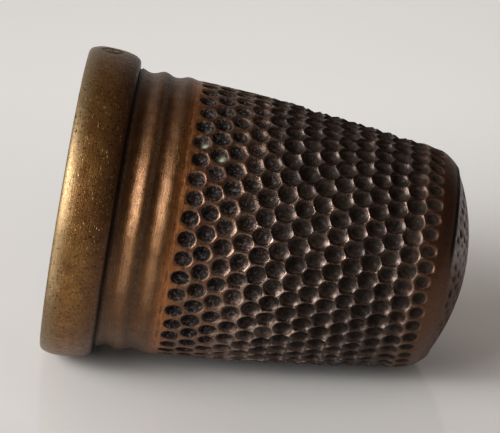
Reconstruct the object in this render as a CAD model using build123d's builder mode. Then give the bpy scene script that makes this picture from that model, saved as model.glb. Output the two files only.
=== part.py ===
from build123d import *
from math import floor, pi, sqrt
import os

# A sewing thimble standing on its open mouth, in millimetres. The origin is the centre of
# the mouth plane, and +Z runs along the thimble's axis to its closed end. Every profile is
# drawn in the plane of X and Z, as (radius, height), and turned about the Z axis.

# Shell: the turned wall is a long flat arc, widest near the mouth.
mouth_bore_radius = 7.42
mouth_bore_length = 3.5
foot_radius = 8.05
wall_widest_radius = 8.073
wall_widest_height = 2.1
wall_arc_radius = 109.0
wall_start_height = 6.55
wall_end_height = 20.5
wall_thickness = 0.62
inside_end_radius = 5.95
inside_end_height = 19.6
inside_corner = (5.66, 20.5)
mouth_chamfer = 0.15

# Mouldings: two turned beads between the band and the dimples, as start, crest and end
# heights, with the crest radius.
bead_root_radius = 7.95
bead_one = (3.40, 4.10, 4.78)
bead_two = (5.35, 5.95, 6.50)
bead_crest_radius = 8.10
groove_floor_radius = 7.87

# Cap seat: a ledge inside the open top, with a thin lip round it.
seat_radius = 5.52
seat_height = 21.45
seat_bore_radius = 4.8
seat_thickness = 0.6
lip_radius = 5.62
lip_height = 22.08
shoulder_middle = (6.16, 21.42)

# Rim band
band_radius = 9.02
band_height = 3.06
band_mouth_round = 0.3
band_shoulder_start = 1.6
band_shoulder_middle = (8.84, 2.45)
band_land = 0.08
solder_film = 0.08
band_lap_start = 0.2

# Steel cap
cap_clearance = 0.07
cap_edge_height = 22.11
cap_dome_radius = 11.1
cap_inner_rise = 1.25  # hollow under the dome

# Dimples: each is the print of a ball-ended punch.
wall_dimple_rings = 14
wall_dimples_per_ring = 44
first_ring_height = 7.2
ring_pitch = 1.03
ring_twist = 15 / 26  # of a pitch, from one ring to the next
first_dimple_azimuth = 23
dimple_radius = 0.42
dimple_depth = 0.22
cap_dimple_rings = 5
cap_ring_pitch = 0.97
cap_dimple_radius = 0.33
cap_dimple_depth = 0.13

cap_radius = seat_radius - cap_clearance
cap_centre_height = cap_edge_height - sqrt(cap_dome_radius**2 - cap_radius**2)
cap_top_height = cap_centre_height + cap_dome_radius
band_bore_radius = foot_radius + solder_film


def wall_radius(height):
    """Outer radius of the tapered wall: an arc about a centre far inside the axis."""
    drop = sqrt(wall_arc_radius**2 - (height - wall_widest_height) ** 2)
    return wall_widest_radius - wall_arc_radius + drop


def cap_height(radius):
    """Height of the domed top at a distance from the axis."""
    return cap_centre_height + sqrt(cap_dome_radius**2 - radius**2)


def punch_radius(opening, depth):
    """Radius of the ball whose print has the given opening radius and depth."""
    return (opening**2 + depth**2) / (2 * depth)


def bead(heights):
    """One moulding as an arc over its crest, from root to root."""
    start, crest, end = heights
    points = [(bead_root_radius, start), (bead_crest_radius, crest), (bead_root_radius, end)]
    return ThreePointArc(*points)


# Brass shell: the outline runs up the outside and comes back down the inside.
wall_middle_height = (wall_start_height + wall_end_height) / 2
inside_middle_radius = wall_radius(wall_middle_height) - wall_thickness
ledge_height = seat_height - seat_thickness
ball = punch_radius(dimple_radius, dimple_depth)

wall_dimples = []
for ring in range(wall_dimple_rings):
    height = first_ring_height + ring * ring_pitch
    distance = wall_radius(height) + ball - dimple_depth
    turn = first_dimple_azimuth + ring * ring_twist * 360 / wall_dimples_per_ring
    for spot in PolarLocations(distance, wall_dimples_per_ring, start_angle=turn):
        wall_dimples.append(Pos(0, 0, height) * spot)

with BuildPart() as brass_body:
    with BuildSketch(Plane.XZ) as shell_section:
        with BuildLine() as shell_outline:
            foot = Line((mouth_bore_radius, 0), (foot_radius, 0))
            Line(foot @ 1, (foot_radius, band_height))
            Line((foot_radius, band_height), (bead_root_radius, bead_one[0]))
            bead(bead_one)
            groove_middle = (groove_floor_radius, (bead_one[2] + bead_two[0]) / 2)
            groove = [(bead_root_radius, bead_one[2]), groove_middle, (bead_root_radius, bead_two[0])]
            ThreePointArc(*groove)
            bead(bead_two)
            wall_start = (wall_radius(wall_start_height), wall_start_height)
            wall_middle = (wall_radius(wall_middle_height), wall_middle_height)
            wall_end = (wall_radius(wall_end_height), wall_end_height)
            Line((bead_root_radius, bead_two[2]), wall_start)
            ThreePointArc(wall_start, wall_middle, wall_end)
            ThreePointArc(wall_end, shoulder_middle, (lip_radius, lip_height))
            Line((lip_radius, lip_height), (seat_radius, lip_height))
            Line((seat_radius, lip_height), (seat_radius, seat_height))
            Line((seat_radius, seat_height), (seat_bore_radius, seat_height))
            Line((seat_bore_radius, seat_height), (seat_bore_radius, ledge_height))
            inside_end = (inside_end_radius, inside_end_height)
            ThreePointArc((seat_bore_radius, ledge_height), inside_corner, inside_end)
            inside_start = (mouth_bore_radius, mouth_bore_length)
            ThreePointArc(inside_end, (inside_middle_radius, wall_middle_height), inside_start)
            Line(inside_start, foot @ 0)
        make_face()
    revolve(axis=Axis.Z)
    mouth_edge = brass_body.edges().filter_by(GeomType.CIRCLE).group_by(Axis.Z)[0]
    chamfer(mouth_edge.sort_by(SortBy.RADIUS)[0], mouth_chamfer)
    with Locations(*wall_dimples):
        Sphere(ball, mode=Mode.SUBTRACT)

# Rim band: a heavy turned ring, soldered over the shell's foot. Its outside is a plain
# cylinder with a small round at the mouth and a long soft shoulder.
with BuildPart() as rim_band:
    with BuildSketch(Plane.XZ) as band_section:
        with BuildLine() as band_outline:
            Line((band_bore_radius, band_height), (band_bore_radius, 0))
            Line((band_bore_radius, 0), (band_radius, 0))
            Line((band_radius, 0), (band_radius, band_shoulder_start))
            band_end = (band_bore_radius + band_land, band_height)
            ThreePointArc((band_radius, band_shoulder_start), band_shoulder_middle, band_end)
            Line(band_end, (band_bore_radius, band_height))
        make_face()
        mouth_corner = band_section.vertices().group_by(Axis.Y)[0].sort_by(Axis.X)[-1]
        fillet(mouth_corner, band_mouth_round)
    revolve(axis=Axis.Z)

# Solder film between the band and the shell's foot.
with BuildPart() as rim_solder:
    with BuildSketch(Plane.XY.offset(band_lap_start)):
        Circle(band_bore_radius)
        Circle(foot_radius, mode=Mode.SUBTRACT)
    extrude(amount=band_height - band_lap_start)

# Steel cap: a domed disc that rests on the ledge, dimpled in rings.
cap_ball = punch_radius(cap_dimple_radius, cap_dimple_depth)
cap_dimples = []
for ring in range(cap_dimple_rings + 1):
    distance = ring * cap_ring_pitch
    count = max(1, floor(2 * pi * ring))
    height = cap_height(distance) + cap_ball - cap_dimple_depth
    for spot in PolarLocations(distance, count):
        cap_dimples.append(Pos(0, 0, height) * spot)

with BuildPart() as steel_cap:
    with BuildSketch(Plane.XZ) as cap_section:
        with BuildLine() as cap_outline:
            dome_middle = (cap_radius / 2, cap_height(cap_radius / 2))
            dome = ThreePointArc((0, cap_top_height), dome_middle, (cap_radius, cap_edge_height))
            Line(dome @ 1, (cap_radius, seat_height))
            Line((cap_radius, seat_height), (seat_bore_radius, seat_height))
            inner_top = (0, seat_height + cap_inner_rise)
            inner_radius = punch_radius(seat_bore_radius, cap_inner_rise)
            inner_middle_rise = sqrt(inner_radius**2 - (seat_bore_radius / 2) ** 2) - inner_radius
            inner_middle = (seat_bore_radius / 2, inner_top[1] + inner_middle_rise)
            ThreePointArc((seat_bore_radius, seat_height), inner_middle, inner_top)
            Line(inner_top, dome @ 0)
        make_face()
    revolve(axis=Axis.Z)
    with Locations(*cap_dimples):
        Sphere(cap_ball, mode=Mode.SUBTRACT)

# Solder ring in the seam between the cap and the lip.
with BuildPart() as cap_solder:
    with BuildSketch(Plane.XY.offset(seat_height)):
        Circle(seat_radius)
        Circle(cap_radius, mode=Mode.SUBTRACT)
    extrude(amount=lip_height - seat_height)

os.makedirs("parts", exist_ok=True)

brass_body.part.label = "brass_body"
export_step(brass_body.part, "parts/brass_body.step")

rim_band.part.label = "rim_band"
export_step(rim_band.part, "parts/rim_band.step")

rim_solder.part.label = "rim_solder"
export_step(rim_solder.part, "parts/rim_solder.step")

steel_cap.part.label = "steel_cap"
export_step(steel_cap.part, "parts/steel_cap.step")

cap_solder.part.label = "cap_solder"
export_step(cap_solder.part, "parts/cap_solder.step")
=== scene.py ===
import math

import bpy
import numpy as np
from mathutils import Matrix, Vector


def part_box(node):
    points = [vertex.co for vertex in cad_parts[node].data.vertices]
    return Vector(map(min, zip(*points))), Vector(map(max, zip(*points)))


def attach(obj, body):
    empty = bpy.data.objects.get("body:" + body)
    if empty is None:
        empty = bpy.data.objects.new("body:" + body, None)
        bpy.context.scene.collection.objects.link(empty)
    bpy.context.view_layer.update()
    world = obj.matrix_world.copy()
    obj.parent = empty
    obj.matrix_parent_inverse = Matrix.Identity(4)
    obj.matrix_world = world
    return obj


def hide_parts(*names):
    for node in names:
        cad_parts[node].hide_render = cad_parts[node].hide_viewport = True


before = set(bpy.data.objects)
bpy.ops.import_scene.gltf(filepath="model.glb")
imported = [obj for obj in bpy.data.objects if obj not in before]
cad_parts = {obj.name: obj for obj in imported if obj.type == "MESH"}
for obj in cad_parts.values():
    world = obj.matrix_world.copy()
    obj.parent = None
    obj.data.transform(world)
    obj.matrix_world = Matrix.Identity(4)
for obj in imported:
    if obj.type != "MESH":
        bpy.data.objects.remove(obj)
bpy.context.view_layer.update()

# A sewing thimble: a dimpled brass shell, a heavy rim band and a dimpled steel cap. Lengths
# are millimetres up to the point where a mesh or a lamp is made, and metres in Blender.
MM = 0.001
FULL_TURN = 2 * math.pi


def size_of(node):
    """The lowest and highest corner of a CAD node, in millimetres."""
    low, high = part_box(node)
    return np.array(low) / MM, np.array(high) / MM


BAND_RADIUS = size_of("rim_band")[1][0]
BAND_TOP = size_of("rim_band")[1][2]
BAND_BORE = size_of("rim_solder")[1][0]
LIP_TOP = size_of("brass_body")[1][2]
CAP_RADIUS = size_of("steel_cap")[1][0]
CAP_SEAT = size_of("steel_cap")[0][2]
CAP_TOP = size_of("steel_cap")[1][2]
SEAT_RADIUS = size_of("cap_solder")[1][0]

# The shell's foot, its bore and the ledge that the cap sits on.
FOOT_RADIUS = 8.05
FOOT_TOP = 3.06
MOUTH_BORE = 7.42
BORE_TOP = 3.5
LEDGE_BORE = 4.8
LEDGE_CORNER = (5.66, 20.5)

# The tapered wall is a flat arc, widest near the mouth.
WALL_ARC = 109.0
WALL_WIDEST = 8.073
WALL_WIDEST_HEIGHT = 2.1
SHOULDER_START = 20.5
SHOULDER_POWER = 2.4
LIP_RADIUS = 5.62

# The two turned beads, as a wave on the wall.
BEAD_CREST = 4.5
BEAD_PITCH = 1.47
BEAD_HEIGHTS = (0.105, 0.085)
BEADS_END = 6.5
LAST_CREST = BEAD_CREST + BEAD_PITCH
# Painted shade: a dark line on the first bead's far flank, which turns away from the light.
PAINTED_SHADE_LINE = 4.78  # on the first bead, just above its crest

# The punched rings.
RINGS = 14
PRINTS = 44
PITCH = FULL_TURN / PRINTS
FIRST_RING = 7.2
RING_PITCH = 1.03
RING_STEP = 15 / 26  # of a pitch; the last ring's columns then meet the first's
PRINTS_LOW = 6.62
PRINTS_HIGH = 21.12
PRINT_SHAPE = 1.25  # power of a print's section; a higher one makes it narrower
PRINT_FULL = 0.35  # depth at which the mask of a print's hollow is 1
DASH_HEIGHT = 6.46

# The cap's dome and its dots.
CAP_EDGE = 22.11
CAP_DOME = 11.1
CAP_ROUND = 0.14
CAP_HOLLOW = 1.25
DOT_PITCH = 0.76
DOT_ROWS = 9  # each way from the middle
DOT_FULL = 0.17  # depth at which the mask of a dot's hollow is 1
BROWN_REFLECTION_AZIMUTH = 103.0  # the middle of the side painted brown as a reflection of the shaded table

# How the thimble lies: on its side, on a table that meets it at this azimuth about +Z.
TABLE_AZIMUTH = 135.0
TABLE_TILT = 6.97
TABLE_TOUCH = (9.02, 1.85)
CAMERA_ELEVATION = 22.0
CAMERA_AZIMUTH = TABLE_AZIMUTH - 90 - CAMERA_ELEVATION
FIRST_PRINT = math.radians(CAMERA_AZIMUTH)

# The camera's distance from the thimble's axis, its height above the mouth and its roll, and
# the point that it aims at: a distance to the side of the axis, and a height.
CAMERA_DISTANCE = 149.87
CAMERA_HEIGHT = 5.04
CAMERA_ROLL = 9.6
CAMERA_LENS = 186.2
AIM_ASIDE = -0.714
AIM_HEIGHT = 10.72

# Heights on the shell between which one finish gives way to the next.
DULL_BEADS = (5.8, 7.0)
COPPERY_STRIP = (5.9, 6.5)
WORN_LANDS = (6.6, 7.4)
DARK_SKIN = (7.5, 11.5)
BRIGHT_PEAKS = (9.0, 14.0)
CRUMBLY_DIRT = (10.0, 14.0)
FADING_PEAKS = (16.0, 19.6)
DULL_MARGIN = (18.4, 19.8)
LAST_RING = (19.6, 20.1)
BROWN_MARGIN = (19.4, 20.8)
BLACK_LIP = (21.3, 21.6)

# Heights on the band: the rubbed mouth edge, and the painted shade towards the shoulder.
RUBBED_EDGE = (0.2, 1.1)
SHADED_SHOULDER = (1.4, 2.8)


def polar(azimuth, radius, height):
    """The point at an azimuth in degrees from +X, a radius and a height, as a Vector."""
    turn = math.radians(azimuth)
    return Vector((radius * math.cos(turn), radius * math.sin(turn), height))


# ---------------------------------------------------------------- camera and lamps


def table_frame():
    """The table's origin, below the rim, and its along, away and up directions.

    Along follows the thimble from mouth to cap, away points from the camera, up from the
    table to the thimble."""
    tilt = math.radians(TABLE_TILT)
    outward = polar(TABLE_AZIMUTH, 1, 0)
    axis = Vector((0, 0, 1))
    up = -(outward * math.cos(tilt) + axis * math.sin(tilt))
    along = axis * math.cos(tilt) - outward * math.sin(tilt)
    away = up.cross(along)
    radius, height = TABLE_TOUCH
    return outward * radius + axis * height, along, away, up


TABLE_ORIGIN, ALONG, AWAY, UP = table_frame()


def on_table(along, away, up):
    """A point given in the table's frame, in millimetres."""
    return TABLE_ORIGIN + ALONG * along + AWAY * away + UP * up


def look_rotation(forward, up):
    """The rotation that points -Z along forward and keeps +Y near up."""
    forward = forward.normalized()
    right = forward.cross(up).normalized()
    above = right.cross(forward)
    return Matrix((right, above, -forward)).transposed().to_4x4()


def make_camera():
    """The camera: a long lens 150 mm off, with the thimble's axis falling to the right."""
    roll = math.radians(CAMERA_ROLL)
    eye = polar(CAMERA_AZIMUTH, CAMERA_DISTANCE, CAMERA_HEIGHT)
    side = polar(CAMERA_AZIMUTH + 90, 1, 0)
    target = side * AIM_ASIDE + Vector((0, 0, AIM_HEIGHT))
    up = side * -math.cos(roll) + Vector((0, 0, -math.sin(roll)))
    data = bpy.data.cameras.new("camera")
    data.sensor_width = 36
    data.lens = CAMERA_LENS
    data.clip_start = 0.01
    data.clip_end = 10
    camera = bpy.data.objects.new("camera", data)
    camera.matrix_world = Matrix.Translation(eye * MM) @ look_rotation(target - eye, up)
    bpy.context.scene.collection.objects.link(camera)
    bpy.context.scene.camera = camera


def make_light(name, place, aim, width, height, power, colour):
    """A soft rectangular lamp at a place in the table's frame, turned towards another."""
    data = bpy.data.lights.new(name, "AREA")
    data.shape = "RECTANGLE"
    data.size = width * MM
    data.size_y = height * MM
    data.energy = power
    data.color = colour
    lamp = bpy.data.objects.new(name, data)
    start, end = on_table(*place), on_table(*aim)
    lamp.matrix_world = Matrix.Translation(start * MM) @ look_rotation(end - start, UP)
    bpy.context.scene.collection.objects.link(lamp)


# ---------------------------------------------------------------- node helpers


class Nodes:
    """A small helper that adds nodes to a tree and links them."""

    def __init__(self, tree):
        self.tree = tree

    def feed(self, node, index, value):
        """A socket fed by another node's output, or set to a value."""
        socket = node.inputs[index]
        if isinstance(value, bpy.types.NodeSocket):
            self.tree.links.new(value, socket)
        else:
            socket.default_value = value

    def add(self, kind, inputs=None, **settings):
        """A new node of a kind, with its settings made and its sockets fed."""
        node = self.tree.nodes.new(kind)
        for key, value in settings.items():
            setattr(node, key, value)
        for key, value in (inputs or {}).items():
            self.feed(node, key, value)
        return node

    def math(self, operation, first, second=0.0, clamp=False):
        node = self.add("ShaderNodeMath", {0: first, 1: second}, operation=operation)
        node.use_clamp = clamp
        return node.outputs[0]

    def scaled(self, value, share):
        """A value times a number."""
        return self.math("MULTIPLY", value, share)

    def mix(self, factor, first, second):
        """A colour that goes from the first to the second as factor goes from 0 to 1."""
        node = self.add("ShaderNodeMix", data_type="RGBA")
        for index, value in ((0, factor), (6, first), (7, second)):
            self.feed(node, index, value)
        return node.outputs[2]

    def remap(self, value, low, high, start=0.0, end=1.0):
        """value from low..high to start..end, smoothly and clamped."""
        limits = {"Value": value, "From Min": low, "From Max": high, "To Min": start, "To Max": end}
        node = self.add("ShaderNodeMapRange", limits, interpolation_type="SMOOTHSTEP")
        return node.outputs["Result"]

    def noise(self, vector, scale, detail=4.0, roughness=0.55, distortion=0.0):
        settings = {"Scale": scale, "Detail": detail, "Roughness": roughness, "Distortion": distortion}
        node = self.add("ShaderNodeTexNoise", {"Vector": vector, **settings})
        return node.outputs["Fac"]

    def attribute(self, name):
        """One of the masks that a piece's mesh carries."""
        return self.add("ShaderNodeAttribute", attribute_name=name).outputs["Fac"]

    def share(self, place, direction):
        """How far a place or heading lies along a direction."""
        node = self.add("ShaderNodeVectorMath", {0: place, 1: direction}, operation="DOT_PRODUCT")
        return node.outputs["Value"]

    def distance(self, place, direction):
        """How far a place in metres lies along a direction, in millimetres."""
        return self.scaled(self.share(place, direction), 1 / MM)


def rgb(red, green, blue):
    return (red, green, blue, 1.0)


def new_group(name, inputs, outputs):
    """A node group with named inputs (and their defaults) and named float outputs."""
    tree = bpy.data.node_groups.new(name, "ShaderNodeTree")
    tree.interface.new_socket("Vector", in_out="INPUT", socket_type="NodeSocketVector")
    for label, value in inputs.items():
        socket = tree.interface.new_socket(label, in_out="INPUT", socket_type="NodeSocketFloat")
        socket.default_value = value
    for label in outputs:
        tree.interface.new_socket(label, in_out="OUTPUT", socket_type="NodeSocketFloat")
    nodes = Nodes(tree)
    return nodes, nodes.add("NodeGroupInput").outputs, nodes.add("NodeGroupOutput")


def build_tarnish_group():
    """Tarnish: cloudy blotches at two scales and small dark specks, each as a mask."""
    sizes = {"Blotch Size": 900.0, "Speck Size": 9000.0}
    nodes, given, out = new_group("tarnish", sizes, ["Blotch", "Mottle", "Speck"])
    place = given["Vector"]
    blotch = nodes.noise(place, given["Blotch Size"], 5, 0.6, 0.6)
    mottle = nodes.noise(place, nodes.scaled(given["Blotch Size"], 4.3), 6, 0.65, 0.3)
    speck = nodes.noise(place, given["Speck Size"], 3, 0.6)
    nodes.feed(out, "Blotch", nodes.remap(blotch, 0.35, 0.68))
    nodes.feed(out, "Mottle", nodes.remap(mottle, 0.3, 0.7))
    nodes.feed(out, "Speck", nodes.remap(speck, 0.56, 0.68))
    return nodes.tree


def build_turning_group():
    """Turning marks: fine lines round the axis, broken up by grain and stray scratches, as a
    height; masks of the lines and of the scratches; and a crumbly noise for dirt."""
    sizes = {"Lines": 16000.0, "Grain": 14000.0}
    nodes, given, out = new_group("turning_marks", sizes, ["Height", "Streak", "Scratch", "Crumbs"])
    place = given["Vector"]
    stretch = nodes.add("ShaderNodeMapping", {"Vector": place, "Scale": (0.05, 0.05, 1.0)})
    lines = nodes.noise(stretch.outputs[0], given["Lines"], 3, 0.6)
    grain = nodes.noise(place, given["Grain"], 5, 0.7)
    slant = {"Vector": place, "Rotation": (0.5, 0.9, 0.3), "Scale": (1.0, 0.06, 1.0)}
    tilt = nodes.add("ShaderNodeMapping", slant)
    scratch = nodes.remap(nodes.noise(tilt.outputs[0], given["Grain"], 2, 0.5), 0.66, 0.7)
    height = nodes.math("ADD", nodes.scaled(lines, 0.5), nodes.scaled(grain, 0.6))
    crumbs = nodes.noise(place, nodes.scaled(given["Grain"], 0.45), 3, 0.7)
    nodes.feed(out, "Height", nodes.math("SUBTRACT", height, nodes.scaled(scratch, 0.25)))
    nodes.feed(out, "Streak", nodes.remap(lines, 0.35, 0.7))
    nodes.feed(out, "Scratch", scratch)
    nodes.feed(out, "Crumbs", crumbs)
    return nodes.tree


TARNISH = build_tarnish_group()
TURNING = build_turning_group()


def new_material(name):
    """An empty material, its node helper and the place of each point on the piece."""
    material = bpy.data.materials.new(name)
    material.use_nodes = True
    material.node_tree.nodes.clear()
    nodes = Nodes(material.node_tree)
    return material, nodes, nodes.add("ShaderNodeTexCoord").outputs["Object"]


def worn_metal(nodes, place, speck_size=9000.0):
    """The masks of the tarnish group and of the turning group at a place."""
    sizes = {"Vector": place, "Speck Size": speck_size}
    tarnish = nodes.add("ShaderNodeGroup", sizes, node_tree=TARNISH)
    turning = nodes.add("ShaderNodeGroup", {"Vector": place}, node_tree=TURNING)
    return tarnish.outputs, turning.outputs


def bumped(nodes, height, strength, depth):
    """A normal from a height, at a strength and a depth in millimetres."""
    settings = {"Strength": strength, "Distance": depth * MM, "Height": height}
    return nodes.add("ShaderNodeBump", settings).outputs[0]


def finish_material(nodes, shader):
    """Makes a shader the material's surface."""
    out = nodes.add("ShaderNodeOutputMaterial")
    nodes.tree.links.new(shader.outputs[0], out.inputs["Surface"])


# ---------------------------------------------------------------- finishes


def shell_skin(nodes, height, hollow, tarnish, streak):
    """The shell's clean metal: golden beads, coppery strip and lands, dark skin with rubbed
    peaks, brown margin, with small dark specks all over."""
    blotch, mottle = tarnish["Blotch"], tarnish["Mottle"]
    golden = nodes.mix(blotch, rgb(0.20, 0.095, 0.035), rgb(0.135, 0.060, 0.023))
    coppery = nodes.mix(blotch, rgb(0.56, 0.215, 0.066), rgb(0.42, 0.162, 0.052))
    land = nodes.mix(nodes.remap(height, *COPPERY_STRIP), golden, coppery)
    land = nodes.mix(nodes.scaled(streak, 0.55), land, rgb(0.08, 0.034, 0.015))
    worn = nodes.mix(mottle, rgb(0.13, 0.058, 0.030), rgb(0.26, 0.135, 0.075))
    land = nodes.mix(nodes.remap(height, *WORN_LANDS), land, worn)
    patina = nodes.mix(mottle, rgb(0.046, 0.028, 0.021), rgb(0.100, 0.064, 0.049))
    peak = nodes.remap(hollow, 0.02, 0.30, 1.0, 0.0)
    peak = nodes.math("MULTIPLY", peak, nodes.remap(height, *FADING_PEAKS, 1.0, 0.2))
    peak = nodes.math("MULTIPLY", peak, nodes.remap(height, *BRIGHT_PEAKS, 0.4, 1.0))
    rubbed = nodes.mix(peak, patina, rgb(0.58, 0.405, 0.31))
    skin = nodes.mix(nodes.remap(height, *DARK_SKIN), land, rubbed)
    skin = nodes.mix(nodes.remap(height, *BROWN_MARGIN), skin, rgb(0.135, 0.067, 0.040))
    return nodes.mix(nodes.scaled(tarnish["Speck"], 0.7), skin, rgb(0.03, 0.02, 0.015))


def shell_dirt(nodes, height, crumbly, mottle, crumbs):
    """The dirt in the prints: black, then umber towards the cap, with pale crumbs where it is
    crumbly, and black again at the lip."""
    black = nodes.mix(mottle, rgb(0.003, 0.003, 0.003), rgb(0.010, 0.009, 0.009))
    umber = nodes.mix(mottle, rgb(0.008, 0.0055, 0.004), rgb(0.023, 0.016, 0.012))
    dirt = nodes.mix(nodes.remap(height, *DARK_SKIN), black, umber)
    dust = nodes.scaled(nodes.remap(crumbs, 0.51, 0.66), 0.75)
    dirt = nodes.mix(nodes.math("MULTIPLY", dust, crumbly), dirt, rgb(0.13, 0.105, 0.10))
    return nodes.mix(nodes.remap(height, *BLACK_LIP), dirt, rgb(0.006, 0.005, 0.005))


def shell_brass():
    """The shell: golden-brown turned beads, coppery lands, near-black dirt in the prints, and
    towards the cap a dark brown skin with rubbed peaks."""
    material, nodes, place = new_material("shell_brass")
    tarnish, turning = worn_metal(nodes, place)
    mottle = tarnish["Mottle"]
    height = nodes.distance(place, (0, 0, 1))
    hollow = nodes.attribute("hollow")
    verdigris = nodes.attribute("verdigris")
    toward_cap = nodes.remap(height, *DARK_SKIN)
    crumbly = nodes.remap(height, *CRUMBLY_DIRT, 1.0, 0.15)

    # Dirt fills a print from its floor up to a level that falls towards the cap.
    swept = nodes.math("SUBTRACT", toward_cap, nodes.remap(height, *LAST_RING, 0.0, 0.7))
    empty = nodes.remap(swept, 0, 1, 0.02, 0.35)
    full = nodes.remap(swept, 0, 1, 0.22, 0.88)
    deep = nodes.remap(hollow, empty, full)
    sooty = nodes.math("MULTIPLY", deep, nodes.remap(nodes.attribute("soot"), 0, 1, 0.95, 1.0))
    filth = nodes.math("MAXIMUM", sooty, nodes.attribute("grime"), True)

    skin = shell_skin(nodes, height, hollow, tarnish, turning["Streak"])
    dirt = shell_dirt(nodes, height, crumbly, mottle, turning["Crumbs"])
    coloured = nodes.mix(filth, skin, dirt)
    patchy = nodes.math("MULTIPLY", verdigris, nodes.remap(mottle, 0, 1, 0.4, 1.0))
    coloured = nodes.mix(patchy, coloured, rgb(0.52, 0.60, 0.42))

    rough = nodes.remap(mottle, 0, 1, 0.30, 0.43)
    rough = nodes.math("SUBTRACT", rough, nodes.scaled(toward_cap, 0.13))
    rough = nodes.math("ADD", rough, nodes.remap(height, *DULL_BEADS, 0.05, 0.0))
    rough = nodes.math("ADD", rough, nodes.remap(height, *DULL_MARGIN, 0.0, 0.16))
    rough = nodes.math("ADD", rough, nodes.scaled(deep, 0.12))
    metal = nodes.math("SUBTRACT", nodes.remap(filth, 0, 1, 0.95, 0.0), verdigris, True)
    relief = nodes.math("MULTIPLY", turning["Crumbs"], nodes.remap(hollow, 0.02, 0.3, 0.3, 3.2))
    relief = nodes.math("MULTIPLY", relief, crumbly)
    bump = bumped(nodes, nodes.math("ADD", relief, turning["Height"]), 0.5, 0.04)
    coat_fade = nodes.remap(nodes.remap(height, *BROWN_MARGIN), 0, 1, 1.0, 0.3)
    coat = nodes.math("MULTIPLY", nodes.remap(filth, 0, 1, 0.25, 0.0), coat_fade)
    finish = {"Base Color": coloured, "Roughness": rough, "Metallic": metal, "Normal": bump}
    gloss = {"Coat Weight": coat, "Coat Roughness": 0.17, "Coat Normal": bump}
    gloss["Specular IOR Level"] = nodes.remap(filth, 0, 1, 0.5, 0.06)
    finish_material(nodes, nodes.add("ShaderNodeBsdfPrincipled", {**finish, **gloss}))
    return material


def band_brass():
    """The band: yellow-brown brass, rubbed bright at the mouth, with painted shade towards its shoulder."""
    material, nodes, place = new_material("band_brass")
    tarnish, turning = worn_metal(nodes, place, speck_size=6500.0)
    mottle = tarnish["Mottle"]
    height = nodes.distance(place, (0, 0, 1))

    gold = nodes.mix(tarnish["Blotch"], rgb(0.38, 0.195, 0.050), rgb(0.25, 0.110, 0.027))
    gold = nodes.mix(nodes.scaled(mottle, 0.7), gold, rgb(0.14, 0.058, 0.016))
    gold = nodes.mix(nodes.scaled(turning["Streak"], 0.35), gold, rgb(0.15, 0.062, 0.018))
    gold = nodes.mix(nodes.remap(height, *RUBBED_EDGE), rgb(0.25, 0.165, 0.075), gold)
    # Painted shade: the band darkens towards its shoulder, which faces away from the light.
    painted_shoulder_shade = nodes.remap(height, *SHADED_SHOULDER, 0.0, 0.85)
    gold = nodes.mix(painted_shoulder_shade, gold, rgb(0.13, 0.056, 0.024))
    gold = nodes.mix(nodes.scaled(turning["Scratch"], 0.7), gold, rgb(0.50, 0.34, 0.15))
    gold = nodes.mix(nodes.scaled(tarnish["Speck"], 0.9), gold, rgb(0.03, 0.012, 0.006))
    coloured = nodes.mix(nodes.attribute("grime"), gold, rgb(0.02, 0.014, 0.01))
    rough = nodes.remap(mottle, 0, 1, 0.33, 0.48)
    bump = bumped(nodes, turning["Height"], 0.6, 0.04)
    finish = {"Base Color": coloured, "Roughness": rough, "Metallic": 0.95, "Normal": bump}
    gloss = {"Coat Weight": 0.3, "Coat Roughness": 0.25, "Coat Normal": bump}
    finish_material(nodes, nodes.add("ShaderNodeBsdfPrincipled", {**finish, **gloss}))
    return material


def cap_steel():
    """The cap: worn grey steel with dark dirt in its dots, and a brown painted reflection of the shaded table
    on one side.
    """
    material, nodes, place = new_material("cap_steel")
    tarnish, turning = worn_metal(nodes, place)
    mottle = tarnish["Mottle"]
    steel = nodes.mix(tarnish["Blotch"], rgb(0.50, 0.445, 0.44), rgb(0.33, 0.28, 0.275))
    steel = nodes.mix(nodes.scaled(mottle, 0.6), steel, rgb(0.12, 0.09, 0.085))
    # Painted reflection: one side of the cap is painted brown for the shaded table it faces.
    painted_brown_reflection = nodes.mix(mottle, rgb(0.19, 0.10, 0.066), rgb(0.10, 0.055, 0.038))
    steel = nodes.mix(nodes.attribute("painted_reflection"), steel, painted_brown_reflection)
    in_dots = nodes.remap(nodes.attribute("hollow"), 0.15, 0.6)
    filth = nodes.math("MAXIMUM", in_dots, nodes.attribute("grime"), True)
    coloured = nodes.mix(filth, steel, rgb(0.03, 0.022, 0.022))
    rough = nodes.remap(mottle, 0, 1, 0.32, 0.5)
    bump = bumped(nodes, turning["Height"], 0.4, 0.02)
    finish = {"Base Color": coloured, "Roughness": rough, "Metallic": 0.95, "Normal": bump}
    finish_material(nodes, nodes.add("ShaderNodeBsdfPrincipled", finish))
    return material


def solder():
    """Old solder: dull dark grey, blackened with dirt."""
    material, nodes, place = new_material("solder")
    tarnish = nodes.add("ShaderNodeGroup", {"Vector": place}, node_tree=TARNISH)
    mottle = tarnish.outputs["Mottle"]
    colour = nodes.mix(mottle, rgb(0.018, 0.013, 0.010), rgb(0.06, 0.045, 0.035))
    rough = nodes.remap(mottle, 0, 1, 0.5, 0.7)
    finish = {"Base Color": colour, "Roughness": rough, "Metallic": 0.4}
    finish_material(nodes, nodes.add("ShaderNodeBsdfPrincipled", finish))
    return material


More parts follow.
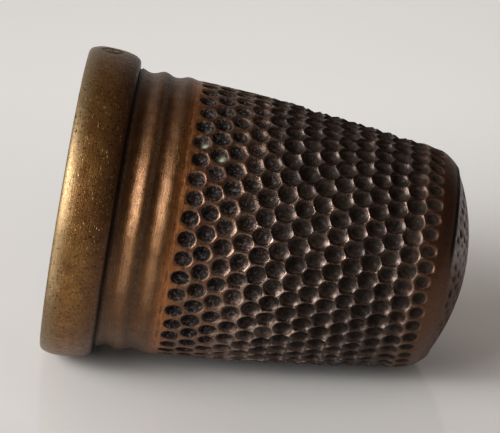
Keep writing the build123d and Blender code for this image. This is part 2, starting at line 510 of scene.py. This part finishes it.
def table_surface():
    """The stage: a pale, glossy table top that can't be seen from behind. It has painted light in the
    distance, painted shade near the thimble and in the foreground, and more painted shade where
    the metal reflects it, so that the metal sees it dimmer than the eye does."""
    material, nodes, place = new_material("table_surface")
    cloud = nodes.noise(place, 30, 3)
    pale = nodes.mix(nodes.remap(cloud, 0.3, 0.7), rgb(0.77, 0.765, 0.755), rgb(0.80, 0.795, 0.785))
    away = nodes.distance(place, AWAY)
    along = nodes.distance(place, ALONG)
    # Painted light: the table is paler in the distance behind the thimble, more so towards its cap end.
    far = nodes.math("MULTIPLY", nodes.remap(away, 10, 50), nodes.remap(along, -30, 20, 0.4, 1.0))
    pale = nodes.mix(far, pale, rgb(0.95, 0.965, 0.96))
    # Painted shade: darker on the near side of the thimble, growing towards its cap end.
    corner = nodes.math("MULTIPLY", nodes.remap(away, -4, 6, 1.0, 0.0), nodes.remap(along, -6, 12))
    # Painted shade in the foreground, towards the camera.
    painted_foreground_shade = nodes.remap(away, -34, -6, 0.62, 0.0)
    shade = nodes.math("MAXIMUM", nodes.scaled(corner, 0.22), painted_foreground_shade)
    # Painted shade for the metal: rays that reflect off it see the table darker.
    painted_glossy_shade = nodes.add("ShaderNodeLightPath").outputs["Is Glossy Ray"]
    shade = nodes.math("MAXIMUM", shade, nodes.scaled(painted_glossy_shade, 0.38))
    colour = nodes.mix(shade, pale, rgb(0.12, 0.10, 0.09))
    finish = {"Base Color": colour, "Roughness": 0.08, "IOR": 1.8}
    top = nodes.add("ShaderNodeBsdfPrincipled", finish)
    clear = nodes.add("ShaderNodeBsdfTransparent")
    behind = nodes.add("ShaderNodeNewGeometry").outputs["Backfacing"]
    sides = {0: behind, 1: top.outputs[0], 2: clear.outputs[0]}
    finish_material(nodes, nodes.add("ShaderNodeMixShader", sides))
    return material


# ---------------------------------------------------------------- mesh helpers


def new_piece(name, points, faces, material, **attributes):
    """A smooth mesh object from points in millimetres, with its float attributes."""
    mesh = bpy.data.meshes.new(name)
    mesh.from_pydata((points * MM).tolist(), [], faces)
    mesh.polygons.foreach_set("use_smooth", np.ones(len(mesh.polygons), dtype=bool))
    for label, values in attributes.items():
        layer = mesh.attributes.new(label, "FLOAT", "POINT")
        layer.data.foreach_set("value", np.asarray(values, dtype=np.float32))
    mesh.update()
    mesh.materials.append(material)
    piece = bpy.data.objects.new(name, mesh)
    bpy.context.scene.collection.objects.link(piece)
    return piece


def turned(angle, radius, height):
    """Points at angles (radians), radii and heights, as an array of x, y, z."""
    return np.stack([radius * np.cos(angle), radius * np.sin(angle), height], axis=-1)


def around(path, columns, start=0.0):
    """A section of (radius, height) carried round the axis from a starting angle: the angle,
    radius and height of every point, row by row."""
    column = start + np.arange(columns) * FULL_TURN / columns
    angle = (column[None, :] + 0 * path[:, :1]).ravel()
    radius = (path[:, :1] + 0 * column[None, :]).ravel()
    height = (path[:, 1:] + 0 * column[None, :]).ravel()
    return angle, radius, height


def grid_faces(rows, columns, first=0):
    """Faces of a grid that closes round its columns: row by row, from vertex number first."""
    row, column = np.meshgrid(np.arange(rows - 1), np.arange(columns), indexing="ij")
    after = (column + 1) % columns
    low, high = first + row * columns, first + (row + 1) * columns
    return np.stack([low + column, low + after, high + after, high + column], axis=-1).reshape(-1, 4)


def ring_faces(rows, columns):
    """Faces of such a grid with its last row joined to its first, as a plain list."""
    last = (rows - 1) * columns
    number = np.arange(columns)
    after = (number + 1) % columns
    closing = np.stack([last + number, last + after, after, number], axis=-1)
    return grid_faces(rows, columns).tolist() + closing.tolist()


def waves(angle, height, seed, count, turns, rises):
    """A smooth seeded unevenness of about -1 to 1: a sum of sine waves round and along."""
    random = np.random.default_rng(seed)
    total = np.zeros(np.broadcast(angle, height).shape)
    for _ in range(count):
        circling = random.integers(-turns, turns + 1)
        rise = random.uniform(-rises, rises)
        total = total + np.sin(circling * angle + rise * height + random.uniform(0, FULL_TURN))
    return total / math.sqrt(count)


def smoothstep(value, low, high):
    """0 below low, 1 above high and a cubic between them, level at both ends."""
    t = np.clip((value - low) / (high - low), 0, 1)
    return t * t * (3 - 2 * t)


def bell(value, middle, width):
    """A bell curve: 1 at the middle, and 1/e at a width from it."""
    return np.exp(-(((value - middle) / width) ** 2))


def walk(points, step):
    """A polyline with points added so that no stretch is longer than step."""
    points = np.asarray(points, dtype=float)
    result = [points[0]]
    for start, end in zip(points[:-1], points[1:]):
        count = max(1, math.ceil(np.linalg.norm(end - start) / step))
        for number in range(1, count + 1):
            result.append(start + (end - start) * number / count)
    return np.array(result)


def arc(centre, radius, start, end, count):
    """Points on an arc about a centre, between two angles in degrees."""
    turn = np.radians(np.linspace(start, end, count))
    return np.stack([centre[0] + radius * np.cos(turn), centre[1] + radius * np.sin(turn)], axis=-1)


def ball_radius(opening, depth):
    """Radius of the ball whose cap has the given opening radius and depth."""
    return (opening**2 + depth**2) / (2 * depth)


# ---------------------------------------------------------------- the dimpled shell


def wall_radius(height):
    """The plain wall: a flat arc about a far centre, turned round the axis."""
    drop = np.sqrt(WALL_ARC**2 - (height - WALL_WIDEST_HEIGHT) ** 2)
    return WALL_WIDEST - WALL_ARC + drop


def outline_radius(height):
    """The shell's outside: the wall, with the beads as a cosine wave that sinks into the wall
    after the second crest, and the shoulder as a fall that steepens to the lip."""
    wave = np.cos((height - BEAD_CREST) * FULL_TURN / BEAD_PITCH)
    first, second = BEAD_HEIGHTS
    wave = wave * (first + (second - first) * smoothstep(height, BEAD_CREST, LAST_CREST))
    tail = second * (1 - smoothstep(height, LAST_CREST, BEADS_END))
    radius = wall_radius(height) + np.where(height > LAST_CREST, tail, wave)
    fall = np.clip((height - SHOULDER_START) / (LIP_TOP - SHOULDER_START), 0, 1)
    lip_drop = wall_radius(LIP_TOP) - LIP_RADIUS
    return radius - lip_drop * fall**SHOULDER_POWER


def print_table():
    """Each print's place, size and depth, as arrays of ring by print. Prints grow towards
    the cap until they crowd, and the last ring is small and shallow."""
    random = np.random.default_rng(7)
    shape = (RINGS, PRINTS)
    ring = np.arange(RINGS)[:, None] * np.ones((1, PRINTS))
    grow = smoothstep(ring, 0, 6)
    last = smoothstep(ring, 11.5, 13)
    return {
        "across": (0.51 + 0.15 * grow - 0.15 * last) * (1 + random.normal(0, 0.05, shape)),
        "along": (0.54 + 0.16 * grow - 0.17 * last) * (1 + random.normal(0, 0.05, shape)),
        "depth": (0.40 + 0.06 * grow - 0.22 * last) * (1 + random.normal(0, 0.12, shape)),
        "slip_across": random.normal(0, 0.026, shape),
        "slip_along": random.normal(0, 0.026, shape),
        "soot": random.uniform(0, 1, shape),
    }


PRINT = print_table()


def ring_height(ring):
    """The height of a ring's middle line."""
    return FIRST_RING + ring * RING_PITCH


def ring_turn(ring):
    """The angle of a ring's first print."""
    return FIRST_PRINT + ring * RING_STEP * PITCH


def print_depth(angle, height):
    """How deep the wall is punched at each point, and the share of soot there.

    Each print is a bell-shaped pit, deepest in its middle and level with the wall at its rim.
    Crowded prints run together as the fourth root of the sum of their fourth powers, which
    rounds the ridges between them as wear does."""
    total = np.zeros_like(angle)
    deepest = np.full_like(angle, -1.0)
    soot = np.zeros_like(angle)
    width = wall_radius(height)
    for ring in range(RINGS):
        turn = (angle - ring_turn(ring)) / PITCH
        nearest = np.floor(turn + 0.5).astype(int)
        for neighbour in (-1, 0, 1):
            number = (nearest + neighbour) % PRINTS
            across = (turn - nearest - neighbour) * PITCH * width - PRINT["slip_across"][ring, number]
            along = height - ring_height(ring) - PRINT["slip_along"][ring, number]
            across = across / PRINT["across"][ring, number]
            along = along / PRINT["along"][ring, number]
            inside = np.clip(1 - (across**2 + along**2), 0, 1)
            sunk = PRINT["depth"][ring, number] * inside**PRINT_SHAPE
            total += sunk**4
            soot = np.where(sunk > deepest, PRINT["soot"][ring, number], soot)
            deepest = np.maximum(deepest, sunk)
    return total**0.25, soot


# Mesh steps along a cell's upright sides and along each half of its pointed ends, and the
# shares of a print's reach at which its rings of points lie.
SIDE_STEPS = 2
APEX_STEPS = 4
COLUMNS = PRINTS * APEX_STEPS * 2
RIM_RINGS = (0.30, 0.56, 0.79, 0.97)


def corner_rise(ring):
    """Where the border between two prints of a ring ends, above the ring's middle line: the
    point as far from both as from the nearest print of the next ring."""
    pitch = PITCH * wall_radius(ring_height(ring) + RING_PITCH / 2)
    return RING_PITCH / 2 - pitch**2 * RING_STEP * (1 - RING_STEP) / (2 * RING_PITCH)


def cell_border(ring):
    """The six-sided border of a ring's cells, counter-clockwise from the lower left, as
    (pitches round, millimetres up). The first and last rings end in a straight edge."""
    above = corner_rise(ring)
    below = corner_rise(ring - 1)
    low_apex = (0.5 - RING_STEP, below - RING_PITCH)
    high_apex = (RING_STEP - 0.5, RING_PITCH - above)
    if ring == 0:
        below = ring_height(0) - PRINTS_LOW
        low_apex = (0.0, -below)
    if ring == RINGS - 1:
        above = PRINTS_HIGH - ring_height(ring)
        high_apex = (0.0, above)
    corners = [(-0.5, -below), low_apex, (0.5, -below), (0.5, above), high_apex, (-0.5, above)]
    steps = [APEX_STEPS, APEX_STEPS, SIDE_STEPS, APEX_STEPS, APEX_STEPS, SIDE_STEPS]
    border = []
    for number, count in enumerate(steps):
        start = np.array(corners[number])
        end = np.array(corners[(number + 1) % len(corners)])
        for step in range(count):
            border.append(start + (end - start) * step / count)
    return np.array(border)


def cell_points(ring):
    """One cell of a ring: its middle, rings of points out to the print's rim, one ring on the
    land and the border, as (pitches round, millimetres up)."""
    border = cell_border(ring)
    pitch = PITCH * wall_radius(ring_height(ring))
    spoke = border * np.array([pitch, 1.0])
    length = np.linalg.norm(spoke, axis=1)
    heading = spoke / length[:, None]
    across, along = PRINT["across"][ring].mean(), PRINT["along"][ring].mean()
    rim = 1 / np.sqrt((heading[:, 0] / across) ** 2 + (heading[:, 1] / along) ** 2)
    rim = np.minimum(rim, 0.88 * length)
    rings = [np.zeros((1, 2))]
    for share in RIM_RINGS:
        rings.append(heading * (share * rim)[:, None])
    rings.append(heading * (rim + 0.4 * (length - rim))[:, None])
    inner = np.concatenate(rings) / np.array([pitch, 1.0])
    return np.concatenate([inner, border])


def cell_faces(spokes, rings):
    """Faces of one cell: a fan round the middle, then rings of four-cornered faces."""
    spoke = np.arange(spokes)
    after = (spoke + 1) % spokes
    fan = np.stack([np.zeros(spokes, dtype=int), 1 + spoke, 1 + after], axis=-1)
    quads = []
    for ring in range(rings - 1):
        low, high = 1 + ring * spokes, 1 + (ring + 1) * spokes
        quads.append(np.stack([low + spoke, high + spoke, high + after, low + after], axis=-1))
    return fan, np.concatenate(quads)


def punched_zone():
    """All the cells, as angles and heights with fan and quad faces, in one array each."""
    angles, heights, fans, quads = [], [], [], []
    count = 0
    for ring in range(RINGS):
        cell = cell_points(ring)
        spokes = len(cell_border(ring))
        fan, quad = cell_faces(spokes, len(RIM_RINGS) + 2)
        number = np.arange(PRINTS)[:, None]
        angles.append((ring_turn(ring) + (number + cell[None, :, 0]) * PITCH).ravel())
        heights.append((ring_height(ring) + 0 * number + cell[None, :, 1]).ravel())
        start = count + number[:, :, None] * len(cell)
        fans.append((start + fan[None]).reshape(-1, 3))
        quads.append((start + quad[None]).reshape(-1, 4))
        count += PRINTS * len(cell)
    return [np.concatenate(parts) for parts in (angles, heights, fans, quads)]


def shell_path():
    """The rest of the shell's section as (radius, height): from the lowest cells down the
    outside, round the mouth, up the inside, over the seat and the lip, and down the margin."""
    dashes = [6.57, 6.53, 6.49, 6.45, 6.41, 6.37, 6.33]
    beads = np.linspace(6.24, 3.2, 27)
    outside = [(outline_radius(z), z) for z in [PRINTS_LOW, *dashes, *beads]]
    foot = [(FOOT_RADIUS, FOOT_TOP), (FOOT_RADIUS, 1.5), (FOOT_RADIUS, 0.04), (FOOT_RADIUS - 0.04, 0.0)]
    mouth = [(7.62, 0.0), (7.52, 0.02), (7.44, 0.08), (MOUTH_BORE, 0.16)]
    bore = [(MOUTH_BORE, 1.8), (MOUTH_BORE, BORE_TOP)]
    inside = [(7.27, 6.5), (7.08, 10), (6.84, 13.5), (6.45, 17), (5.95, 19.6), (5.86, 20.1)]
    ledge = [LEDGE_CORNER, (5.3, 20.78), (LEDGE_BORE, 20.86), (LEDGE_BORE, 21.42)]
    seat = [(LEDGE_BORE + 0.03, CAP_SEAT), (SEAT_RADIUS - 0.03, CAP_SEAT), (SEAT_RADIUS, CAP_SEAT + 0.03)]
    lip = [(SEAT_RADIUS, LIP_TOP - 0.08), (SEAT_RADIUS + 0.02, LIP_TOP - 0.03), (SEAT_RADIUS + 0.05, LIP_TOP)]
    rise = LIP_TOP - PRINTS_HIGH
    margin = [(outline_radius(z), z) for z in LIP_TOP - rise * np.linspace(0.015, 1, 15) ** 1.5]
    return np.array(outside + foot + mouth + bore + inside + ledge + seat + lip + margin)


def dash_marks(angle, height):
    """The row of faint little dashes below the first ring: one to a print, as 0 to 1."""
    turn = (angle - ring_turn(0)) / PITCH + 0.5
    share = np.abs(turn - np.floor(turn) - 0.5)
    strength = PRINT["soot"][0, np.floor(turn).astype(int) % PRINTS]
    dash = (0.4 + 0.6 * strength) * (1 - smoothstep(share, 0.20, 0.36))
    return dash * bell(height, DASH_HEIGHT, 0.065)


def painted_reflection_side(angle, radius):
    """The side painted brown as a reflection of the shaded table, over the seam and onto the cap, as 0 to 1.
    """
    reach = radius * np.cos(angle - math.radians(BROWN_REFLECTION_AZIMUTH))
    return smoothstep(reach, 0.2, 1.9)


def verdigris_spots(angle, height):
    """Where green corrosion sits: on the far wall of a few prints, as 0 to 1."""
    green = np.zeros_like(angle)
    for ring, number, strength in ((0, -5, 0.3), (0, -4, 0.8), (1, -4, 1.0)):
        across = (angle - ring_turn(ring)) / PITCH - number
        across = (across - np.round(across / PRINTS) * PRINTS) * PITCH * wall_radius(ring_height(ring))
        along = height - ring_height(ring)
        green = np.maximum(green, strength * bell(across, 0.1, 0.15) * bell(along, 0.14, 0.15))
    return green


def weld_keys(angle, height):
    """Whole numbers for points at angles and heights, equal where two points meet."""
    fine = 1e5
    turn = np.mod(np.round(np.mod(angle, FULL_TURN) * fine), np.round(FULL_TURN * fine))
    return np.stack([turn, np.round(height * 1e4)], axis=-1)


def shell_points():
    """The shell's mesh before it is punched: angles, plain radii, heights, which points come
    from the strip alone, and faces. It is the punched cells and one long closed strip that
    joins their two ends, welded where their keys are equal."""
    angle, height, fans, quads = punched_zone()
    path = shell_path()
    strip_angle, strip_radius, strip_height = around(path, COLUMNS, ring_turn(0) - PITCH / 2)
    cell_keys = weld_keys(angle, height)
    strip_keys = weld_keys(strip_angle, strip_height)
    inner_rows = slice(COLUMNS, len(strip_angle) - COLUMNS)
    strip_keys[inner_rows, 1] = -1e9 - np.arange(len(strip_angle))[inner_rows]  # met by nothing
    strip_quads = grid_faces(len(path), COLUMNS, first=len(angle))[:, ::-1]

    keys = np.concatenate([cell_keys, strip_keys])
    _, kept, place = np.unique(keys, axis=0, return_index=True, return_inverse=True)
    place = place.reshape(-1)
    from_strip = kept >= len(angle)
    strip_radius = strip_radius[kept[from_strip] - len(angle)]
    angle = np.concatenate([angle, strip_angle])[kept]
    height = np.concatenate([height, strip_height])[kept]
    radius = outline_radius(height)
    radius[from_strip] = strip_radius
    faces = place[fans].tolist() + place[quads].tolist() + place[strip_quads].tolist()
    return angle, radius, height, from_strip, faces


def make_shell(material):
    """The shell: punched, a little uneven on its outside, and marked with its dirt, a darker joint
    with the band and a line of painted shade on the first bead.
    """
    angle, radius, height, from_strip, faces = shell_points()
    outer = (~from_strip) | (radius > outline_radius(height) - 0.01)
    depth, soot = print_depth(angle, height)
    low_edge = smoothstep(height, PRINTS_LOW, PRINTS_LOW + 0.1)
    high_edge = 1 - smoothstep(height, PRINTS_HIGH - 0.06, PRINTS_HIGH)
    depth = depth * np.where(from_strip, 0, 1) * (low_edge * high_edge)
    dashes = dash_marks(angle, height) * outer
    uneven = 0.012 * waves(angle, height, 3, 24, 14, 1.2) + 0.006 * waves(angle, height, 4, 40, 70, 9.0)
    radius = radius - depth - 0.008 * dashes + uneven * outer

    # Darker along the joint with the band.
    seam = bell(height, BAND_TOP, 0.24) * outer
    # Painted shade on the first bead's far flank.
    line = 0.6 * bell(height, PAINTED_SHADE_LINE, 0.14) * outer
    # The dark line below the lip fades where the side is painted brown as a reflection.
    lip = smoothstep(height, LIP_TOP - 0.30, LIP_TOP - 0.16) * (1 - 0.9 * painted_reflection_side(angle, radius))
    # Grime and painted shade together: the joint with the band, the painted shade line, the lip and the
    # dashes.
    grime = np.clip(np.maximum.reduce([seam, line, lip, dashes]), 0, 1)
    masks = {"hollow": depth / PRINT_FULL, "grime": grime, "soot": soot}
    masks["verdigris"] = verdigris_spots(angle, height)
    return new_piece("dimpled_shell", turned(angle, radius, height), faces, material, **masks)


# ---------------------------------------------------------------- the rim band


def band_path():
    """The band's closed section as (radius, height): along the mouth face, up the crowned
    outside as a power curve that falls faster and faster to the shoulder, and down the bore."""
    mouth_round = 0.42
    crown = 1.0
    land = 0.1
    flat = walk([(BAND_BORE, 0.0), (BAND_RADIUS - mouth_round, 0.0)], 0.12)
    turn = np.linspace(0, 1, 18) * math.pi / 2
    low_radius = BAND_RADIUS - mouth_round * (1 - np.sin(turn) ** 0.9)
    mouth = np.stack([low_radius, crown * (1 - np.cos(turn))], axis=-1)
    turn = np.linspace(0, 1, 40)[1:] * math.pi / 2
    rise = (BAND_TOP - 0.02 - crown) * np.sin(turn)
    fall = BAND_RADIUS - BAND_BORE - land
    side = np.stack([BAND_BORE + land + fall * np.cos(turn) ** 0.62, crown + rise], axis=-1)
    top = [(BAND_BORE + 0.05, BAND_TOP - 0.03), (BAND_BORE, BAND_TOP - 0.08)]
    bore = walk([(BAND_BORE, BAND_TOP - 0.08), (BAND_BORE, 0.0)], 0.7)[1:-1]
    return np.concatenate([flat[:-1], mouth, side, top, bore])


def punch_mark(angle, height):
    """A small plain struck mark: a ring with a dot in it, as 0 to 1."""
    azimuth = math.radians(CAMERA_AZIMUTH - 76)
    across = (np.mod(angle - azimuth + math.pi, FULL_TURN) - math.pi) * BAND_RADIUS
    reach = np.hypot(across, height - 1.35)
    return np.maximum(bell(reach, 0.55, 0.11), bell(reach, 0, 0.17))


def make_band(material):
    """The band: its section carried round the axis, a little uneven, with its struck mark."""
    path = band_path()
    columns = 640
    angle, radius, height = around(path, columns)
    outer = smoothstep(radius, BAND_BORE + 0.1, BAND_BORE + 0.4)
    uneven = 0.010 * waves(angle, height, 11, 18, 9, 1.5) + 0.004 * waves(angle, height, 12, 30, 60, 6.0)
    mark = punch_mark(angle, height)
    radius = radius + outer * (uneven - 0.01) - 0.07 * mark * outer
    edge = smoothstep(radius, 8.4, 8.8) * (height < 1)
    height = np.maximum(height + 0.012 * waves(angle, 0 * height, 13, 12, 7, 0) * edge, 0)
    seam = smoothstep(height, BAND_TOP - 0.22, BAND_TOP - 0.03)
    grime = np.clip(np.maximum(seam, 0.9 * mark), 0, 1)
    faces = ring_faces(len(path), columns)
    return new_piece("rim_ring", turned(angle, radius, height), faces, material, grime=grime)


# ---------------------------------------------------------------- the steel cap


def cap_height(radius):
    """The dome: a sphere through the cap's edge."""
    return CAP_TOP - CAP_DOME + np.sqrt(CAP_DOME**2 - radius**2)


def underside(radius):
    """The hollow under the dome: a sphere from the ledge's bore to the rise of its middle."""
    ball = ball_radius(LEDGE_BORE, CAP_HOLLOW)
    return CAP_SEAT + CAP_HOLLOW - ball + np.sqrt(ball**2 - radius**2)


def cap_dots():
    """The cap's dots on a triangular net, a little uneven: their places, sizes and depths."""
    random = np.random.default_rng(21)
    rows = []
    for row in range(-DOT_ROWS, DOT_ROWS + 1):
        for number in range(-DOT_ROWS, DOT_ROWS + 1):
            x = (number + 0.5 * (row % 2)) * DOT_PITCH
            y = row * DOT_PITCH * math.sqrt(3) / 2
            if math.hypot(x, y) < CAP_RADIUS - 0.3:
                rows.append((x, y))
    place = np.array(rows) + random.normal(0, 0.06, (len(rows), 2))
    size = 0.29 * (1 + random.normal(0, 0.12, len(rows)))
    depth = 0.12 * (1 + random.normal(0, 0.25, len(rows)))
    return place, size, depth


def dot_depth(points):
    """How deep the cap is punched at each point: each dot is a bowl that falls as the square
    of the distance from its middle, and bowls and dome run together as the logarithm of a sum
    of exponentials."""
    softness = 0.014
    total = np.zeros(len(points))
    for (x, y), size, depth in zip(*cap_dots()):
        spread = ((points[:, 0] - x) ** 2 + (points[:, 1] - y) ** 2) / size**2
        total += np.exp(np.clip(depth * (1 - spread) / softness, -60, 60))
    return softness * np.log1p(total)


def make_cap(material):
    """The cap: a dome with a rounded edge, punched on top and hollow below, with a fan of
    faces at the middle of each side."""
    columns = 420
    dome = np.linspace(0.02, CAP_RADIUS - CAP_ROUND, 84)
    edge_middle = (CAP_RADIUS - CAP_ROUND, cap_height(CAP_RADIUS - CAP_ROUND) - CAP_ROUND)
    edge = arc(edge_middle, CAP_ROUND, 80, 0, 7)
    rim = walk([(CAP_RADIUS, CAP_EDGE - 0.25), (CAP_RADIUS, CAP_SEAT), (LEDGE_BORE, CAP_SEAT)], 0.35)
    below = np.linspace(4.6, 0.02, 14)
    top = np.stack([dome, cap_height(dome)], axis=-1)
    path = np.concatenate([top, edge, rim, np.stack([below, underside(below)], axis=-1)])
    angle, radius, height = around(path, columns)
    upper = np.repeat(np.arange(len(path)) < len(dome) + 3, columns)
    points = turned(angle, radius, height)
    clear = 1 - smoothstep(radius, CAP_RADIUS - 0.45, CAP_RADIUS - 0.15)
    sunk = dot_depth(points) * upper * clear
    points[:, 2] -= sunk
    points[:, 2] += 0.008 * waves(points[:, 0] * 0.5, points[:, 1] * 0.5, 31, 16, 3, 1.5) * upper

    number = np.arange(columns)
    after = (number + 1) % columns
    count = len(points)
    last = (len(path) - 1) * columns
    top_fan = np.stack([number, after, np.full(columns, count)], axis=-1)
    under_fan = np.stack([last + after, last + number, np.full(columns, count + 1)], axis=-1)
    faces = grid_faces(len(path), columns)[:, ::-1].tolist() + top_fan.tolist() + under_fan.tolist()
    poles = [[0, 0, points[:columns, 2].mean()], [0, 0, points[-columns:, 2].mean()]]
    hollow = np.append(sunk, [sunk[0], 0]) / DOT_FULL
    # Painted reflection: the side painted brown for the shaded table; the dark edge line fades there.
    painted_reflection = painted_reflection_side(angle, radius)
    grime = smoothstep(radius, CAP_RADIUS - 0.12, CAP_RADIUS) * upper * (1 - 0.9 * painted_reflection)
    masks = {"hollow": hollow, "grime": np.append(grime, [0, 0]), "painted_reflection": np.append(painted_reflection, [0, 0])}
    return new_piece("steel_top", np.concatenate([points, poles]), faces, material, **masks)


def make_seam(material):
    """The solder in the seam round the cap: a thin uneven ring that sits below the lip."""
    columns = 360
    low, high = CAP_SEAT + 0.01, LIP_TOP - 0.1
    inner, outer = CAP_RADIUS - 0.005, SEAT_RADIUS + 0.005
    middle = (inner + outer) / 2
    path = np.array([(inner, low), (outer, low), (outer, high), (middle, high - 0.03), (inner, high)])
    angle, radius, height = around(path, columns)
    height = height + 0.02 * waves(angle, 0 * height, 41, 20, 40, 0) * (height > CAP_SEAT + 0.3)
    faces = ring_faces(len(path), columns)
    return new_piece("cap_seam", turned(angle, radius, height), faces, material)


# ---------------------------------------------------------------- table and room


def make_stage():
    """The table as one big square, facing the thimble."""
    reach = 450
    signs = ((-1, -1), (1, -1), (1, 1), (-1, 1))
    corners = [on_table(x * reach, y * reach, 0) * MM for x, y in signs]
    mesh = bpy.data.meshes.new("table")
    mesh.from_pydata([tuple(corner) for corner in corners], [], [(0, 1, 2, 3)])
    mesh.materials.append(table_surface())
    table = bpy.data.objects.new("table", mesh)
    bpy.context.scene.collection.objects.link(table)


def make_world():
    """A pale backdrop for the camera, a dim warm glow for the shadows, and for the metal a
    dark room with a pale wall on the left and a paler far wall."""
    world = bpy.data.worlds.new("room")
    world.use_nodes = True
    world.node_tree.nodes.clear()
    nodes = Nodes(world.node_tree)
    heading = nodes.add("ShaderNodeTexCoord").outputs["Generated"]
    left = nodes.remap(nodes.share(heading, -ALONG), -0.3, 0.95)
    colour = nodes.mix(left, rgb(0.080, 0.060, 0.048), rgb(0.74, 0.73, 0.73))
    far = nodes.remap(nodes.share(heading, AWAY), 0.75, 1.0, 0.0, 0.6)
    colour = nodes.mix(far, colour, rgb(0.55, 0.53, 0.52))
    room = nodes.add("ShaderNodeBackground", {"Color": colour, "Strength": 0.9})
    glow = nodes.add("ShaderNodeBackground", {"Color": rgb(0.325, 0.285, 0.255), "Strength": 0.9})
    backdrop = nodes.add("ShaderNodeBackground", {"Color": rgb(0.63, 0.62, 0.605), "Strength": 1.0})
    ray = nodes.add("ShaderNodeLightPath").outputs
    lighting = {0: ray["Is Diffuse Ray"], 1: room.outputs[0], 2: glow.outputs[0]}
    lit = nodes.add("ShaderNodeMixShader", lighting)
    seen = {0: ray["Is Camera Ray"], 1: lit.outputs[0], 2: backdrop.outputs[0]}
    both = nodes.add("ShaderNodeMixShader", seen)
    out = nodes.add("ShaderNodeOutputWorld")
    nodes.tree.links.new(both.outputs[0], out.inputs["Surface"])
    bpy.context.scene.world = world


# ---------------------------------------------------------------- putting it together

make_camera()
bpy.context.scene.view_settings.view_transform = "Standard"
make_world()
make_stage()
make_light("window", (-440, -285, 290), (8, 0, 8), 170, 130, 1.1, (1.0, 0.98, 0.96))
make_light("sky", (-430, -300, 275), (8, 0, 8), 560, 380, 4.9, (0.99, 0.985, 0.98))

old_solder = solder()
for piece, node, slot in (
    (make_shell(shell_brass()), "brass_body", "shell_brass"),
    (make_band(band_brass()), "rim_band", "band_brass"),
    (make_cap(cap_steel()), "steel_cap", "cap_steel"),
    (make_seam(old_solder), "cap_solder", "solder"),
):
    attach(piece, "root")
    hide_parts(node)
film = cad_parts["rim_solder"]
film.data.materials.clear()
film.data.materials.append(old_solder)
